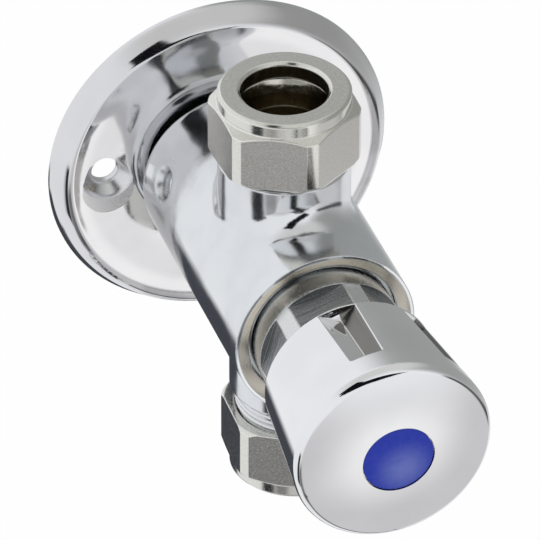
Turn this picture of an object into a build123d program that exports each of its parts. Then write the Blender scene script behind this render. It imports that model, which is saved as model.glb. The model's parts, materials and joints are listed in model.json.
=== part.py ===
from build123d import *
import os
from math import asin, cos, radians, sin, tan

# Frame: the wall is the plane Y = 0, the front of the valve faces -Y and the pipes run along Z.
# A reach is a distance out from the wall, so it stands for Y = -reach. All sizes are in mm.

# Wall flange, a pressed and plated sheet
flange_r = 31.9
flange_sheet = 1.3
flange_edge = 0.8
flange_edge_round = 0.4
rim_cone_width = 2.0
rim_slope_width = 1.7
rim_apex_height = 1.3
rim_round = 0.9
rim_blend_round = 2.0
plate_reach = 3.3
flange_turn = 4.0
screw_hole_r = 2.5
screw_hole_depth = 1.4
screw_seat_width = 0.4
screw_sink_r = 4.4
screw_lip_width = 0.5
screw_lip_drop = 0.25
screw_inset = 6.45
screw_cup_wall = 0.8

# Boss riveted through the flange, which carries the body
boss_r = 10.0
boss_neck_r = 8.0
boss_rivet_r = 9.6
boss_grip = 13.6
boss_groove_depth = 1.5
boss_groove_floor = 1.5
boss_socket_end_gap = 0.5

# Body casting
body_gap = 1.5
barrel_r = 16.4
barrel_length = 54.2
barrel_rear_round = 3.0
mouth_wall = 2.7
mouth_lip_round = 0.5
mouth_lip_slope = 1.1
mouth_lip_width = 2.1
thread_depth = 10.0
partition_step = 2.0
rear_chamber_wall = 1.7
mouth_land = 1.9
tail_stagger = 6.5
lower_tail_drop = 1.0
upper_neck_length = 7.0
lower_neck_length = 3.4
neck_step = 1.3
neck_edge = 0.3
upper_tail_fillet = 4.0
lower_tail_fillet = 2.0
tail_port_r = 3.0
tail_port_inset = 0.2
tail_floor_wall = 2.0
tail_socket_depth = 12.2

# Grub screw in the side of the body
grub_setback = 10.4
grub_angle = 68.0
grub_r = 2.5
grub_sink = 0.9
grub_hex = 2.5
grub_hex_depth = 2.2
grub_tip_flat_r = 0.6
grub_tip_gap = 0.1
dimple_r = 3.1
dimple_depth = 1.3
dimple_slope = 0.6

# Compression joints for 15 mm pipe
pipe_r = 7.5
pipe_slack = 0.1
nut_height = 13.3
nut_proud = 6.8
nut_shell = 1.55
nut_corner_proud = 1.3
nut_corner_chamfer = 0.6
nut_shoulder_slope = 0.6
nut_collar_inset = 0.3
nut_collar_height = 2.6
nut_wall = 3.0
nut_hole_slack = 0.1
tail_wall = 2.8
olive_length = 5.4
olive_wall = 1.15
olive_nose = 0.45
olive_nose_length = 0.6
olive_bevel = 2.3
olive_lip = 0.1
top_nut_turn = 27.0
bottom_nut_turn = 31.6

# Inlet strainer disc and its recess
strainer_thick = 1.0
strainer_ledge = 0.5
strainer_sink = 0.3
strainer_slack = 0.1
strainer_hole_r = 0.7
strainer_pitch = 2.6
strainer_rim = 1.2
strainer_rows = 5

# Cartridge housing
head_proud = 18.5
mouth_gap = 0.6
seal_land = 2.1
divider_step = 0.2
collar_sink = 1.6
collar_proud = 3.4
flat_depth = 1.1
flats_turn = 15.0
divider_thick = 3.4
waist_cut = 0.4
waterway_wall = 2.6
nose_past = 2.9
nose_seal_back = 1.7
gland_wall = 1.8
gland_ledge = 1.0
gland_length = 6.0
gland_sink = 0.3
gland_pin_hole_r = 0.9
gland_pin_hole_depth = 2.0
window_r = 2.2
window_count = 6

# Seals
seal_section = 1.4
gland_seal_section = 1.3
groove_side_slack = 0.2

# Valve seat and the parts that close on it
seat_ledge = 0.5
seat_passage = 1.4
seat_wall = 1.7
seat_depth = 2.0
seat_lip = 0.6
seat_lip_flat = 0.5
seat_lip_foot = 0.9
valve_clearance = 0.05
washer_overlap = 1.0
washer_thick = 2.4
washer_plate_wall = 0.9
washer_plate_base = 0.9
washer_plate_rim = 1.6
washer_nut_flats = 6.0
washer_nut_thick = 2.0

# Spindle, piston and return spring
stroke = 6.5
stem_r = 2.6
stem_thread_step = 0.6
stem_thread_proud = 0.4
stem_collar_step = 0.8
stem_collar_length = 1.2
spindle_step = 1.4
spindle_end_step = 1.0
spindle_shoulder_depth = 1.2
piston_front_gap = 1.0
piston_length = 4.5
piston_slack = 0.16
cup_slack = 0.06
cup_width = 2.2
cup_depth = 1.8
cup_lip = 0.5
cup_web = 0.9
metering_pin_r = 0.6
metering_pin_proud = 0.4
clip_thick = 0.8
clip_width = 2.0
clip_mouth = 2.2
spring_wire = 1.2
spring_turns = 6

# Push button
button_gap = 12.5
button_length = 25.1
button_rear_r = 15.4
button_r = 17.87
button_edge_length = 22.4
button_edge_round = 1.8
button_bore_slack = 0.3
button_lip_wall = 1.0
button_lip_depth = 5.6
button_floor_gap = 0.4
notch_turns = (0, 60, 180, 240)
notch_first_angle = 10.0
notch_length = 16.5
notch_rear_depth = 2.4
notch_front_depth = 2.0
notch_half_angle = 60.0
notch_rear_width = 7.8
notch_front_width = 6.4
notch_corner_round = 1.0
indice_r = 6.3
indice_slack = 0.15
indice_thick = 0.8
indice_sink = 0.45
indice_crown = 0.15
button_screw_r = 1.9
button_screw_length = 8.0
button_screw_head_r = 3.6
button_screw_head_thick = 2.2
button_screw_head_bevel = 0.7
button_screw_slot = 1.4
button_screw_slot_depth = 1.1
screw_head_slack = 0.3

# Small clearances, shared by all pieces
thread_slack = 0.05
running_slack = 0.05
close_slack = 0.02
edge_break = 0.5
cut_past = 1.0

# Radii about the pipe axis
pipe_bore_r = pipe_r + pipe_slack
nut_hole_r = pipe_bore_r + nut_hole_slack
tail_thread_r = pipe_bore_r + tail_wall
nut_thread_r = tail_thread_r + thread_slack
neck_r = tail_thread_r + neck_step
nut_flats_half = nut_thread_r + nut_shell
nut_corner_r = nut_flats_half + nut_corner_proud
nut_collar_r = nut_flats_half - nut_collar_inset
olive_r = pipe_bore_r + olive_wall
olive_nose_r = olive_r - olive_nose
strainer_recess_r = pipe_bore_r - strainer_ledge

# Places along the body axis, from the wall outwards
plate_back = plate_reach - flange_sheet
rim_apex_reach = plate_reach + rim_apex_height
body_rear_reach = plate_reach + body_gap
boss_reach = body_rear_reach + boss_grip
boss_socket_reach = boss_reach + boss_socket_end_gap
grub_reach = body_rear_reach + grub_setback
rear_chamber_reach = boss_socket_reach + rear_chamber_wall
mouth_reach = body_rear_reach + barrel_length
lower_tail_reach = mouth_reach - mouth_land - lower_tail_fillet - neck_r
tail_reach = lower_tail_reach - tail_stagger
thread_floor_reach = mouth_reach - thread_depth
housing_seal_reach = thread_floor_reach - seal_section
waist_front_reach = housing_seal_reach - seal_land
divider_rear_reach = waist_front_reach + divider_step
divider_front_reach = divider_rear_reach + divider_thick
nose_reach = tail_reach - nose_past
nose_seal_reach = tail_reach
waist_rear_reach = nose_seal_reach + nose_seal_back
partition_front_reach = nose_seal_reach + seal_section
collar_rear_reach = mouth_reach - collar_sink
flats_rear_reach = mouth_reach + collar_proud
head_front_reach = mouth_reach + head_proud
gland_rear_reach = head_front_reach - gland_length
piston_front_reach = gland_rear_reach - piston_front_gap
piston_rear_reach = piston_front_reach - piston_length
cup_middle_reach = piston_front_reach - piston_length / 2
seat_lip_reach = nose_reach - seat_lip
washer_front_reach = seat_lip_reach - valve_clearance
washer_rear_reach = washer_front_reach - washer_thick
plate_rear_reach = washer_rear_reach - washer_plate_base
nut_rear_reach = plate_rear_reach - washer_nut_thick
button_rear_reach = mouth_reach + button_gap
button_tip_reach = button_rear_reach + button_length
button_floor_reach = head_front_reach + stroke + button_floor_gap
spindle_shoulder_reach = button_floor_reach + spindle_shoulder_depth
recess_floor_reach = button_tip_reach - indice_thick - indice_sink - indice_crown
screw_head_reach = recess_floor_reach - button_screw_head_thick - screw_head_slack
spindle_end_reach = screw_head_reach - screw_head_slack

# Radii about the body axis
rim_apex_r = flange_r - rim_cone_width
rim_foot_r = rim_apex_r - rim_slope_width
screw_offset = rim_foot_r - screw_inset
stem_collar_r = stem_r + stem_collar_step
seat_hole_r = stem_collar_r + seat_passage
seat_r = seat_hole_r + seat_wall
waterway_r = seat_r - seat_ledge
waist_r = waterway_r + waterway_wall
rear_chamber_r = waist_r + waist_cut
front_chamber_r = rear_chamber_r + partition_step
thread_bore_r = barrel_r - mouth_wall
head_r = thread_bore_r - mouth_gap
flats_half = head_r - flat_depth
gland_r = flats_half - gland_wall
cylinder_r = gland_r - gland_ledge
washer_r = seat_hole_r + washer_overlap
washer_plate_r = washer_r + washer_plate_wall
stem_thread_r = stem_r - stem_thread_step
spindle_r = stem_r + spindle_step
spindle_end_r = spindle_r - spindle_end_step
clip_groove_r = stem_r - edge_break
clip_r = clip_groove_r + clip_width
cup_inner_r = cylinder_r - cup_depth
spring_coil_r = (clip_r + cylinder_r) / 2
metering_pin_offset = (clip_r + spring_coil_r - spring_wire / 2) / 2
button_bore_r = head_r + button_bore_slack
button_lip_bore_r = button_rear_r - button_lip_wall

# Heights along the pipe axis
socket_floor_z = barrel_r + tail_floor_wall
tail_end_z = socket_floor_z + tail_socket_depth
nut_face_z = tail_end_z + nut_proud
nut_rear_z = nut_face_z - nut_height
nut_seat_z = nut_face_z - nut_wall
nut_shoulder_z = nut_face_z - nut_collar_height
olive_front_z = nut_seat_z - (olive_nose_r - nut_hole_r) - close_slack
olive_rear_z = olive_front_z - olive_length
strainer_floor_z = socket_floor_z - strainer_thick - strainer_sink
inlet_port_reach = tail_reach - (strainer_recess_r - tail_port_r - tail_port_inset)
outlet_port_reach = (waist_rear_reach + waist_front_reach) / 2


def turned(corners):
    """Solid turned about the body axis from (radius, reach) corners."""
    outline = Polyline([(radius, -reach) for radius, reach in corners], close=True)
    return revolve(make_face(outline), axis=Axis.Y)


def turned_ring(inner_r, outer_r, rear_reach, front_reach):
    """Plain ring about the body axis."""
    corners = [
        (inner_r, rear_reach),
        (outer_r, rear_reach),
        (outer_r, front_reach),
        (inner_r, front_reach),
    ]
    return turned(corners)


def on_tail(solid, up):
    """Moves a solid made on the Z axis out to the upper or the lower tail, which lies further out."""
    if up > 0:
        return Pos(0, -tail_reach, 0) * solid
    return Pos(0, -lower_tail_reach, -lower_tail_drop) * solid


def turned_on_tail(corners, up):
    """Solid turned about a tail's axis from (radius, height) corners, upwards or downwards."""
    outline = Polyline([(radius, 0, up * height) for radius, height in corners], close=True)
    return on_tail(revolve(make_face(outline), axis=Axis.Z), up)


def round_bar(radius, rear_reach, front_reach):
    """Cylinder along the body axis."""
    bar = Cylinder(radius, front_reach - rear_reach)
    return Pos(0, -(rear_reach + front_reach) / 2, 0) * Rot(90, 0, 0) * bar


def hex_bar(flats_half, rear_reach, front_reach, turn=0.0):
    """Hexagonal prism along the body axis."""
    section = Rot(0, 0, turn) * RegularPolygon(flats_half, 6, major_radius=False)
    prism = extrude(section, amount=(front_reach - rear_reach) / 2, both=True)
    return Pos(0, -(rear_reach + front_reach) / 2, 0) * Rot(90, 0, 0) * prism


def dome_arc(edge_r, edge_reach, tip_reach):
    """Arc of a shallow dome, from its edge to its tip on the axis."""
    rise = tip_reach - edge_reach
    sphere_r = (edge_r**2 + rise**2) / (2 * rise)
    half_way = asin(edge_r / sphere_r) / 2
    middle = (sphere_r * sin(half_way), sphere_r * (1 - cos(half_way)) - tip_reach)
    return ThreePointArc((edge_r, -edge_reach), middle, (0, -tip_reach))


def seal_ring(outer_r, section, reach):
    """Rubber ring that fills the space between a groove floor and its bore."""
    cord_r = section / 2 - close_slack
    ring = Torus(outer_r - section / 2, cord_r)
    return Pos(0, -reach, 0) * Rot(90, 0, 0) * ring


def seal_groove(inner_r, outer_r, section, reach):
    """Cut for a seal ring, a little wider than the ring's cord."""
    half_width = section / 2 + groove_side_slack
    return turned_ring(inner_r, outer_r, reach - half_width, reach + half_width)


def flange_line(depth, crest_round):
    """Rim and plate of the flange sheet: its front line at depth 0, its back line at the sheet's depth."""
    corners = [
        (flange_r - depth, 0),
        (flange_r - depth, -flange_edge),
        (rim_apex_r, depth - rim_apex_reach),
        (rim_foot_r, depth - plate_reach),
        (boss_neck_r, depth - plate_reach),
    ]
    return FilletPolyline(*corners, radius=[flange_edge_round, crest_round, rim_blend_round])


def wall_flange():
    front = flange_line(0, rim_round)
    back = flange_line(flange_sheet, flange_edge_round)
    ends = [Line(front @ 0, back @ 0), Line(front @ 1, back @ 1)]
    sheet = revolve(make_face(Curve() + front + back + ends), axis=Axis.Y)
    cup = turned(
        [
            (0, 0),
            (screw_hole_r + screw_seat_width + screw_cup_wall, 0),
            (screw_sink_r + screw_cup_wall, plate_back),
            (0, plate_back),
        ]
    )
    sink = turned(
        [
            (0, -cut_past),
            (screw_hole_r, -cut_past),
            (screw_hole_r, screw_hole_depth),
            (screw_hole_r + screw_seat_width, screw_hole_depth),
            (screw_sink_r, plate_reach - screw_lip_drop),
            (screw_sink_r + screw_lip_width, plate_reach),
            (screw_sink_r + screw_lip_width, plate_reach + cut_past),
            (0, plate_reach + cut_past),
        ]
    )
    for side in (0, 180):
        place = Rot(0, flange_turn + side, 0) * Pos(screw_offset, 0, 0)
        sheet = sheet + place * cup - place * sink
    return sheet


def flange_boss():
    """Turned boss, riveted over behind the flange and grooved for the grub screw's tip."""
    groove_r = boss_r - boss_groove_depth
    return turned(
        [
            (0, 0),
            (boss_rivet_r, 0),
            (boss_rivet_r, plate_back),
            (boss_neck_r, plate_back),
            (boss_neck_r, plate_reach),
            (boss_r, plate_reach),
            (boss_r, grub_reach - grub_r),
            (groove_r, grub_reach - boss_groove_floor / 2),
            (groove_r, grub_reach + boss_groove_floor / 2),
            (boss_r, grub_reach + grub_r),
            (boss_r, boss_reach - edge_break),
            (boss_r - edge_break, boss_reach),
            (0, boss_reach),
        ]
    )


def on_grub_axis(solid):
    """Turns a solid made about the body axis out along the grub screw's axis, its front outwards."""
    return Pos(0, -grub_reach, 0) * Rot(0, -grub_angle, 0) * Rot(-90, 0, 0) * solid


def tail_blank(up, neck_length):
    """Outside of one tail: a plain neck, standing out from the barrel, and the threaded end."""
    neck_z = barrel_r + neck_length
    corners = [
        (0, 0),
        (neck_r, 0),
        (neck_r, neck_z - neck_edge),
        (neck_r - neck_edge, neck_z),
        (tail_thread_r, neck_z),
        (tail_thread_r, tail_end_z - edge_break),
        (tail_thread_r - edge_break, tail_end_z),
        (0, tail_end_z),
    ]
    return turned_on_tail(corners, up)


def tail_bore(up):
    """Pipe socket with the coned mouth for the olive."""
    cone_r = olive_r + nut_hole_slack
    corners = [
        (0, socket_floor_z),
        (pipe_bore_r, socket_floor_z),
        (pipe_bore_r, olive_rear_z),
        (cone_r, tail_end_z),
        (cone_r, tail_end_z + cut_past),
        (0, tail_end_z + cut_past),
    ]
    return turned_on_tail(corners, up)


def port_on(up, reach, floor_z):
    """Drilled way from a chamber out to the floor of a pipe socket."""
    return Pos(0, -reach, up * floor_z / 2) * Cylinder(tail_port_r, floor_z)


def fillet_tail_join(casting, side, radius):
    """Fillets the curve where one tail leaves the barrel: side 0 is the lower tail, -1 the upper."""
    plain_edges = (GeomType.CIRCLE, GeomType.LINE)
    joins = [edge for edge in casting.edges() if edge.geom_type not in plain_edges and edge.length > neck_r]
    join = ShapeList(joins).sort_by(Axis.Z)[side]
    return fillet(join, radius)


def valve_body():
    barrel = round_bar(barrel_r, body_rear_reach, mouth_reach)
    casting = barrel + tail_blank(1, upper_neck_length) + tail_blank(-1, lower_neck_length)
    casting = fillet_tail_join(casting, -1, upper_tail_fillet)
    casting = fillet_tail_join(casting, 0, lower_tail_fillet)
    rims = casting.edges().filter_by(GeomType.CIRCLE)
    rims = rims.filter_by(lambda edge: abs(edge.radius - barrel_r) < close_slack)
    front_rim = rims.sort_by(Axis.Y)[0]
    rear_rim = rims.sort_by(Axis.Y)[-1]
    casting = fillet(front_rim, mouth_lip_round)
    casting = fillet(rear_rim, barrel_rear_round)
    lip_r = thread_bore_r + mouth_lip_width
    bores = turned(
        [
            (0, rear_chamber_reach),
            (rear_chamber_r, rear_chamber_reach),
            (rear_chamber_r, partition_front_reach),
            (front_chamber_r, partition_front_reach),
            (front_chamber_r, thread_floor_reach),
            (thread_bore_r, thread_floor_reach),
            (thread_bore_r, mouth_reach - mouth_lip_slope),
            (lip_r, mouth_reach),
            (lip_r, mouth_reach + cut_past),
            (0, mouth_reach + cut_past),
        ]
    )
    boss_socket = round_bar(boss_r + running_slack, body_rear_reach - cut_past, boss_socket_reach)
    dimple = turned(
        [
            (0, barrel_r - dimple_depth),
            (dimple_r - dimple_slope, barrel_r - dimple_depth),
            (dimple_r, barrel_r - dimple_slope / 2),
            (dimple_r + dimple_slope, barrel_r + dimple_slope),
            (0, barrel_r + dimple_slope),
        ]
    )
    screw_hole = round_bar(grub_r + close_slack, boss_r - edge_break, barrel_r)
    strainer_recess = Cylinder(strainer_recess_r, 2 * strainer_sink + 2 * strainer_thick)
    casting = casting - bores - boss_socket - tail_bore(1) - tail_bore(-1)
    casting -= on_tail(Pos(0, 0, socket_floor_z) * strainer_recess, 1)
    casting -= port_on(1, inlet_port_reach, strainer_floor_z + cut_past)
    casting -= port_on(-1, outlet_port_reach, socket_floor_z + lower_tail_drop + cut_past)
    return casting - on_grub_axis(dimple + screw_hole)


def body_grub_screw():
    """Cone-point screw with a hexagon socket, its tip just clear of the boss's groove floor."""
    tip = boss_r - boss_groove_depth + grub_tip_gap
    head = barrel_r - dimple_depth - grub_sink
    screw = turned(
        [
            (0, tip),
            (grub_tip_flat_r, tip),
            (grub_r, tip + grub_r - grub_tip_flat_r),
            (grub_r, head - edge_break),
            (grub_r - edge_break, head),
            (0, head),
        ]
    )
    return on_grub_axis(screw - hex_bar(grub_hex / 2, head - grub_hex_depth, head + cut_past))


def compression_nut(up, turn):
    """Hexagon nut with a turned collar, bored for the pipe and coned inside for the olive."""
    hexagon = extrude(RegularPolygon(nut_flats_half, 6, major_radius=False), amount=up * nut_face_z)
    hexagon = on_tail(Rot(0, 0, -turn) * hexagon, up)
    corner_slope = (nut_corner_r - nut_collar_r) * nut_shoulder_slope
    blank = turned_on_tail(
        [
            (0, nut_rear_z),
            (nut_corner_r - nut_corner_chamfer, nut_rear_z),
            (nut_corner_r, nut_rear_z + nut_corner_chamfer),
            (nut_corner_r, nut_shoulder_z - corner_slope),
            (nut_collar_r, nut_shoulder_z),
            (0, nut_shoulder_z),
        ],
        up,
    )
    collar = turned_on_tail(
        [
            (0, nut_shoulder_z - cut_past),
            (nut_collar_r, nut_shoulder_z - cut_past),
            (nut_collar_r, nut_face_z - edge_break),
            (nut_collar_r - edge_break, nut_face_z),
            (0, nut_face_z),
        ],
        up,
    )
    bore = turned_on_tail(
        [
            (0, nut_rear_z - cut_past),
            (nut_thread_r + edge_break, nut_rear_z - cut_past),
            (nut_thread_r + edge_break, nut_rear_z),
            (nut_thread_r, nut_rear_z + edge_break),
            (nut_thread_r, nut_seat_z - (nut_thread_r - nut_hole_r)),
            (nut_hole_r, nut_seat_z),
            (nut_hole_r, nut_face_z - edge_break),
            (nut_hole_r + edge_break, nut_face_z),
            (nut_hole_r + edge_break, nut_face_z + cut_past),
            (0, nut_face_z + cut_past),
        ],
        up,
    )
    return (blank & hexagon) + collar - bore


def olive(up):
    """Compression ring with coned ends and a bevelled mouth."""
    corners = [
        (pipe_bore_r, olive_rear_z + olive_lip),
        (pipe_bore_r + olive_lip / 2, olive_rear_z + olive_lip),
        (olive_r, tail_end_z + olive_lip),
        (olive_r, olive_front_z - olive_nose_length),
        (olive_nose_r, olive_front_z),
        (olive_nose_r - olive_lip, olive_front_z),
        (pipe_bore_r, olive_front_z - olive_bevel),
    ]
    return turned_on_tail(corners, up)


def inlet_strainer():
    """Perforated disc in the recess below the upper, supply socket."""
    disc_r = strainer_recess_r - strainer_slack
    disc = Cylinder(disc_r, strainer_thick)
    for hole in HexLocations(strainer_pitch / 2, strainer_rows, strainer_rows, major_radius=False):
        if hole.position.length < disc_r - strainer_rim:
            disc -= hole * Cylinder(strainer_hole_r, strainer_thick + cut_past)
    return on_tail(Pos(0, 0, strainer_floor_z + strainer_thick / 2) * disc, 1)


def cartridge_housing():
    nose_r = rear_chamber_r - running_slack
    sleeve_r = front_chamber_r - running_slack
    thread_r = thread_bore_r - running_slack
    outside = turned(
        [
            (0, nose_reach),
            (nose_r - edge_break, nose_reach),
            (nose_r, nose_reach + edge_break),
            (nose_r, waist_rear_reach),
            (waist_r, waist_rear_reach),
            (waist_r, waist_front_reach),
            (sleeve_r, waist_front_reach),
            (sleeve_r, thread_floor_reach),
            (thread_r, thread_floor_reach),
            (thread_r, collar_rear_reach - mouth_gap),
            (head_r, collar_rear_reach),
            (head_r, head_front_reach - edge_break),
            (head_r - edge_break, head_front_reach),
            (0, head_front_reach),
        ]
    )
    flats_end = head_front_reach + cut_past
    spanner_flats = hex_bar(flats_half, flats_rear_reach, flats_end, flats_turn)
    outside -= round_bar(head_r + cut_past, flats_rear_reach, flats_end) - spanner_flats
    inside = turned(
        [
            (0, nose_reach - cut_past),
            (seat_r, nose_reach - cut_past),
            (seat_r, nose_reach + seat_depth),
            (waterway_r, nose_reach + seat_depth),
            (waterway_r, divider_rear_reach),
            (stem_r + running_slack, divider_rear_reach),
            (stem_r + running_slack, divider_front_reach),
            (cylinder_r, divider_front_reach),
            (cylinder_r, gland_rear_reach),
            (gland_r, gland_rear_reach),
            (gland_r, head_front_reach + cut_past),
            (0, head_front_reach + cut_past),
        ]
    )
    housing = outside - inside
    for bore_r, seal_reach in ((front_chamber_r, housing_seal_reach), (rear_chamber_r, nose_seal_reach)):
        housing -= seal_groove(bore_r - seal_section, bore_r, seal_section, seal_reach)
    window = Pos(0, 0, waist_r) * Cylinder(window_r, waist_r)
    for step in range(window_count):
        turn = Rot(0, step * 360 / window_count, 0)
        housing -= Pos(0, -(waist_rear_reach + waist_front_reach) / 2, 0) * turn * window
    return housing


def gland_bush():
    """Threaded plug that closes the cylinder and guides the spindle."""
    front_reach = head_front_reach - gland_sink
    bush = turned_ring(spindle_r + running_slack, gland_r - thread_slack, gland_rear_reach, front_reach)
    bush -= seal_groove(spindle_r, spindle_r + gland_seal_section, gland_seal_section, gland_seal_reach())
    pin_hole_offset = (spindle_r + gland_r) / 2
    pin_hole = round_bar(gland_pin_hole_r, front_reach - gland_pin_hole_depth, front_reach + cut_past)
    for side in (-1, 1):
        bush -= Pos(side * pin_hole_offset, 0, 0) * pin_hole
    return bush


def gland_seal_reach():
    """Middle of the gland's length."""
    return gland_rear_reach + (gland_length - gland_sink) / 2


def valve_seat():
    """Ring pressed into the nose, with the raised lip that the washer closes on."""
    return turned(
        [
            (seat_hole_r, seat_lip_reach),
            (seat_hole_r + seat_lip_flat, seat_lip_reach),
            (seat_hole_r + seat_lip_foot, nose_reach),
            (seat_r, nose_reach),
            (seat_r, nose_reach + seat_depth),
            (seat_hole_r, nose_reach + seat_depth),
        ]
    )


def valve_washer():
    return turned_ring(stem_thread_r, washer_r, washer_rear_reach, washer_front_reach)


def washer_plate():
    """Cup that holds the washer round its rim."""
    cup_front_reach = washer_rear_reach + washer_plate_rim
    cup = turned_ring(stem_thread_r, washer_plate_r, plate_rear_reach, cup_front_reach)
    return cup - round_bar(washer_r, washer_rear_reach, cup_front_reach + cut_past)


def washer_nut():
    nut = hex_bar(washer_nut_flats / 2, nut_rear_reach, plate_rear_reach)
    return nut - round_bar(stem_thread_r, nut_rear_reach - cut_past, plate_rear_reach + cut_past)


def spindle():
    """Stem that carries the valve washer at its rear, the piston, and the button at its front."""
    collar_front_reach = washer_front_reach + stem_collar_length
    stem_rear_reach = nut_rear_reach - stem_thread_proud
    rod = turned(
        [
            (0, stem_rear_reach),
            (stem_thread_r - stem_thread_proud, stem_rear_reach),
            (stem_thread_r, nut_rear_reach),
            (stem_thread_r, washer_front_reach),
            (stem_collar_r, washer_front_reach),
            (stem_collar_r, collar_front_reach),
            (stem_r, collar_front_reach),
            (stem_r, piston_rear_reach - clip_thick),
            (clip_groove_r, piston_rear_reach - clip_thick),
            (clip_groove_r, piston_rear_reach),
            (stem_r, piston_rear_reach),
            (stem_r, piston_front_reach),
            (spindle_r, piston_front_reach),
            (spindle_r, spindle_shoulder_reach),
            (spindle_end_r, spindle_shoulder_reach),
            (spindle_end_r, spindle_end_reach),
            (0, spindle_end_reach),
        ]
    )
    screw_hole_reach = spindle_end_reach - button_screw_length
    return rod - round_bar(button_screw_r, screw_hole_reach, spindle_end_reach + cut_past)


def piston_clip():
    """Open spring clip that holds the piston against the spindle's shoulder."""
    rear_reach = piston_rear_reach - clip_thick
    clip = turned_ring(clip_groove_r, clip_r, rear_reach, piston_rear_reach)
    mouth = Box(clip_mouth, 2 * clip_thick, 2 * clip_r)
    return clip - Pos(0, -(piston_rear_reach - clip_thick / 2), -clip_r) * mouth


def piston():
    """Dashpot piston, free to turn on the stem, with a groove for the cup seal."""
    rear_reach = piston_rear_reach + running_slack
    front_reach = piston_front_reach - running_slack
    body = turned_ring(stem_r + close_slack, cylinder_r - piston_slack, rear_reach, front_reach)
    groove_rear_reach = cup_middle_reach - cup_width / 2
    body -= turned_ring(cup_inner_r, cylinder_r, groove_rear_reach, groove_rear_reach + cup_width)
    pin_hole = round_bar(metering_pin_r, rear_reach - cut_past, front_reach + cut_past)
    return body - Pos(metering_pin_offset, 0, 0) * pin_hole


def cup_seal():
    """U-shaped ring whose lips open towards the front, so it slows only the return."""
    rear_reach = cup_middle_reach - cup_width / 2 + close_slack
    front_reach = cup_middle_reach + cup_width / 2 - close_slack
    inner_r = cup_inner_r + close_slack
    outer_r = cylinder_r - cup_slack
    ring = turned_ring(inner_r, outer_r, rear_reach, front_reach)
    web_reach = rear_reach + cup_web
    return ring - turned_ring(inner_r + cup_lip, outer_r - cup_lip, web_reach, front_reach + cut_past)


def metering_pin():
    """Pin that leaves the timed leak path through the piston."""
    rear_reach = piston_rear_reach - metering_pin_proud
    front_reach = piston_front_reach + metering_pin_proud
    return Pos(metering_pin_offset, 0, 0) * round_bar(metering_pin_r, rear_reach, front_reach)


def return_spring():
    """Wire wound about the stem between the housing's divider and the piston."""
    wire_r = spring_wire / 2
    height = piston_rear_reach - divider_front_reach - spring_wire - 2 * close_slack
    path = Helix(height / spring_turns, height, spring_coil_r)
    section = Plane(origin=path @ 0, z_dir=path % 0) * Circle(wire_r)
    coil = sweep(section, path=path)
    return Pos(0, -(divider_front_reach + wire_r + close_slack), 0) * Rot(90, 0, 0) * coil


def notch_cutter(turn):
    """Rising V groove in the skirt, open to the rear, with rounded front corners."""
    rear_reach = button_rear_reach - cut_past
    end_reach = button_rear_reach + notch_length
    skirt_rise = (button_r - button_rear_r) / button_edge_length
    front_valley_r = button_rear_r + skirt_rise * notch_length - notch_front_depth
    rear_valley_r = button_rear_r - notch_rear_depth
    valley_rise = (front_valley_r - rear_valley_r) / notch_length
    half_width = button_r * tan(radians(notch_half_angle))
    sections = []
    for reach in (rear_reach, end_reach):
        valley_r = rear_valley_r + valley_rise * (reach - button_rear_reach)
        top_z = valley_r + button_r
        corners = [(0, -reach, valley_r), (half_width, -reach, top_z), (-half_width, -reach, top_z)]
        sections.append(make_face(Polyline(corners, close=True)))
    groove = loft(sections)
    plan = make_face(
        Polyline(
            [
                (-notch_rear_width / 2, -rear_reach),
                (notch_rear_width / 2, -rear_reach),
                (notch_front_width / 2, -end_reach),
                (-notch_front_width / 2, -end_reach),
            ],
            close=True,
        )
    )
    plan = fillet(plan.vertices().sort_by(Axis.Y)[:2], notch_corner_round)
    return Rot(0, turn, 0) * (groove & extrude(plan, amount=2 * button_r))


def push_button():
    """Domed cap with a tapered skirt, notched for grip and hollow over the cartridge head."""
    edge_reach = button_rear_reach + button_edge_length
    profile = [
        Line((0, -button_rear_reach), (button_rear_r, -button_rear_reach)),
        Line((button_rear_r, -button_rear_reach), (button_r, -edge_reach)),
        dome_arc(button_r, edge_reach, button_tip_reach),
        Line((0, -button_tip_reach), (0, -button_rear_reach)),
    ]
    section = make_face(Curve() + profile)
    section = fillet(section.vertices().sort_by(Axis.X)[-1], button_edge_round)
    button = revolve(section, axis=Axis.Y)
    lip_bore_reach = button_rear_reach + button_lip_depth
    screw_well_r = button_screw_head_r + screw_head_slack
    indice_recess_r = indice_r + indice_slack
    button -= turned(
        [
            (0, button_rear_reach - cut_past),
            (button_lip_bore_r, button_rear_reach - cut_past),
            (button_lip_bore_r, lip_bore_reach),
            (button_bore_r, lip_bore_reach),
            (button_bore_r, button_floor_reach),
            (spindle_r, button_floor_reach),
            (spindle_r, spindle_shoulder_reach),
            (spindle_end_r, spindle_shoulder_reach),
            (spindle_end_r, screw_head_reach),
            (screw_well_r, screw_head_reach),
            (screw_well_r, recess_floor_reach),
            (indice_recess_r, recess_floor_reach),
            (indice_recess_r, button_tip_reach + cut_past),
            (0, button_tip_reach + cut_past),
        ]
    )
    for turn in notch_turns:
        button -= notch_cutter(turn - notch_first_angle)
    return button


def button_screw():
    """Cross-slotted screw that draws the button onto the spindle's end."""
    head_front = screw_head_reach + button_screw_head_thick
    tip_reach = spindle_end_reach - button_screw_length + edge_break
    screw = turned(
        [
            (0, tip_reach),
            (button_screw_r, tip_reach),
            (button_screw_r, screw_head_reach),
            (button_screw_head_r, screw_head_reach),
            (button_screw_head_r, head_front - button_screw_head_bevel),
            (button_screw_head_r - button_screw_head_bevel, head_front),
            (0, head_front),
        ]
    )
    slot_length = 2 * (button_screw_head_r - button_screw_slot)
    slot = Box(slot_length, 2 * button_screw_slot_depth, button_screw_slot)
    for turn in (0, 90):
        screw -= Pos(0, -head_front, 0) * Rot(0, turn, 0) * slot
    return screw


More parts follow.
